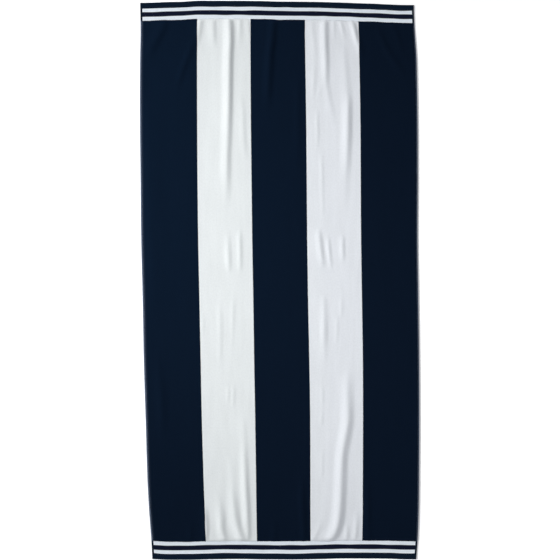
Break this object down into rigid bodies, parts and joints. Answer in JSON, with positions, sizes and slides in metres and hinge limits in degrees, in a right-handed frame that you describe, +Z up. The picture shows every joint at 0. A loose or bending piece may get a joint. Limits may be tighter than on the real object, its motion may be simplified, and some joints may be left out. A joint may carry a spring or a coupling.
{
  "type": "beach towel",
  "caption": "Flat rectangular beach towel of cut-pile terry with wide lengthwise stripes, flat-woven end borders, hemmed edges and low soft folds.",
  "frame": {"origin": "under the middle of the towel, on the surface it lies on", "axes": "+Z up out of the face of the towel, +Y along its length towards the head end, +X across it to the right as seen from above"},
  "size_m": [0.8, 1.5999, 0.0079],
  "materials": {
    "cloth": "cut cotton pile in dark blue and white stripes, with flat-woven borders"
  },
  "bodies": {
    "root": {"towel": "cloth"}
  },
  "joints": []
}
